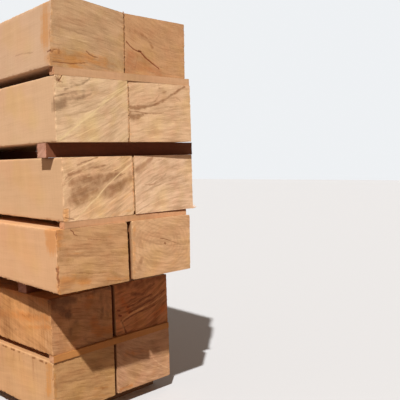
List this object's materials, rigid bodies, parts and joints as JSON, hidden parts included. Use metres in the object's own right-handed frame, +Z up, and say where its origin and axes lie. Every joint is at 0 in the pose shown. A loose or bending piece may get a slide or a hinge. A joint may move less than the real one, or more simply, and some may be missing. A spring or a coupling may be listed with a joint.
{
  "type": "stack of sawn timber",
  "caption": "Stack of heavy square-sawn hardwood beams in bundles, with thin stickers between layers and bearers that leave gaps for forks.",
  "frame": {"origin": "middle of the stack's footprint, on the ground", "axes": "+Y along the beams, away from their front ends; +X across them; +Z up"},
  "size_m": [1.117, 4.4632, 2.3977],
  "materials": {
    "beam_wood": "rough sawn",
    "sticker_wood": "rough sawn",
    "bearer_wood": "rough sawn"
  },
  "bodies": {
    "root": {"beam_1_left": "beam_wood", "beam_1_right": "beam_wood", "beam_2_left": "beam_wood", "beam_2_right": "beam_wood", "beam_3_left": "beam_wood", "beam_3_right": "beam_wood", "beam_4_left": "beam_wood", "beam_4_right": "beam_wood", "beam_5_left": "beam_wood", "beam_5_right": "beam_wood", "beam_6_left": "beam_wood", "beam_6_right": "beam_wood", "bottom_sticker_1": "sticker_wood", "bottom_sticker_2": "sticker_wood", "bottom_sticker_3": "sticker_wood", "middle_sticker_1": "sticker_wood", "middle_sticker_2": "sticker_wood", "middle_sticker_3": "sticker_wood", "top_sticker_1": "sticker_wood", "top_sticker_2": "sticker_wood", "top_sticker_3": "sticker_wood", "lower_bearer_1": "bearer_wood", "lower_bearer_2": "bearer_wood", "lower_bearer_3": "bearer_wood", "upper_bearer_1": "bearer_wood", "upper_bearer_2": "bearer_wood", "upper_bearer_3": "bearer_wood", "ground_bearer_1": "bearer_wood", "ground_bearer_2": "bearer_wood", "ground_bearer_3": "bearer_wood"}
  },
  "joints": []
}
